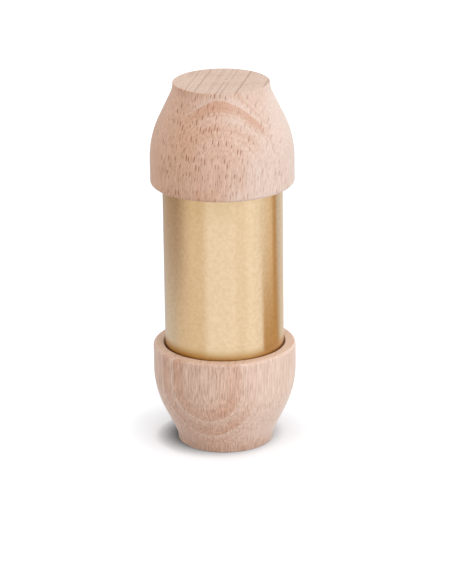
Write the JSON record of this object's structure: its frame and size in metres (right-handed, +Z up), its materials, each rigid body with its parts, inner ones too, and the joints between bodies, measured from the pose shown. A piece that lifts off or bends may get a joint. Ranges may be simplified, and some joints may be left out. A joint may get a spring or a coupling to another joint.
{
  "type": "ganza shaker",
  "caption": "Hand shaker: a satin brass tube closed at both ends by turned beech caps with flat end faces, holding loose steel shot that rattles from end to end.",
  "frame": {"origin": "centre of the lower cap's flat end face, which the shaker stands on", "axes": "+Z up along the tube; X and Y are across it, and the pictured side faces -Y"},
  "size_m": [0.054, 0.054, 0.1406],
  "materials": {
    "satin_brass": "satin, finely brushed",
    "beech": "raw, fine sanded",
    "cured_glue": "cured film",
    "steel_shot": "tumbled"
  },
  "bodies": {
    "shell": {"brass_tube": "satin_brass", "lower_cap": "beech", "upper_cap": "beech", "lower_glue_line": "cured_glue", "upper_glue_line": "cured_glue"},
    "shot_1": {"shot_group_1": "steel_shot"},
    "shot_2": {"shot_group_2": "steel_shot"},
    "shot_3": {"shot_group_3": "steel_shot"},
    "shot_4": {"shot_group_4": "steel_shot"},
    "shot_5": {"shot_group_5": "steel_shot"},
    "shot_6": {"shot_group_6": "steel_shot"},
    "shot_7": {"shot_group_7": "steel_shot"}
  },
  "joints": [
    {"name": "shot_1_travel", "type": "slide", "parent": "shell", "child": "shot_1", "axis": [0, 0, 1], "range_m": [0, 0.0989]},
    {"name": "shot_2_travel", "type": "slide", "parent": "shell", "child": "shot_2", "axis": [0, 0, 1], "range_m": [0, 0.0989]},
    {"name": "shot_3_travel", "type": "slide", "parent": "shell", "child": "shot_3", "axis": [0, 0, 1], "range_m": [0, 0.0989]},
    {"name": "shot_4_travel", "type": "slide", "parent": "shell", "child": "shot_4", "axis": [0, 0, 1], "range_m": [0, 0.0989]},
    {"name": "shot_5_travel", "type": "slide", "parent": "shell", "child": "shot_5", "axis": [0, 0, 1], "range_m": [0, 0.0989]},
    {"name": "shot_6_travel", "type": "slide", "parent": "shell", "child": "shot_6", "axis": [0, 0, 1], "range_m": [0, 0.0989]},
    {"name": "shot_7_travel", "type": "slide", "parent": "shell", "child": "shot_7", "axis": [0, 0, 1], "range_m": [0, 0.0989]}
  ]
}
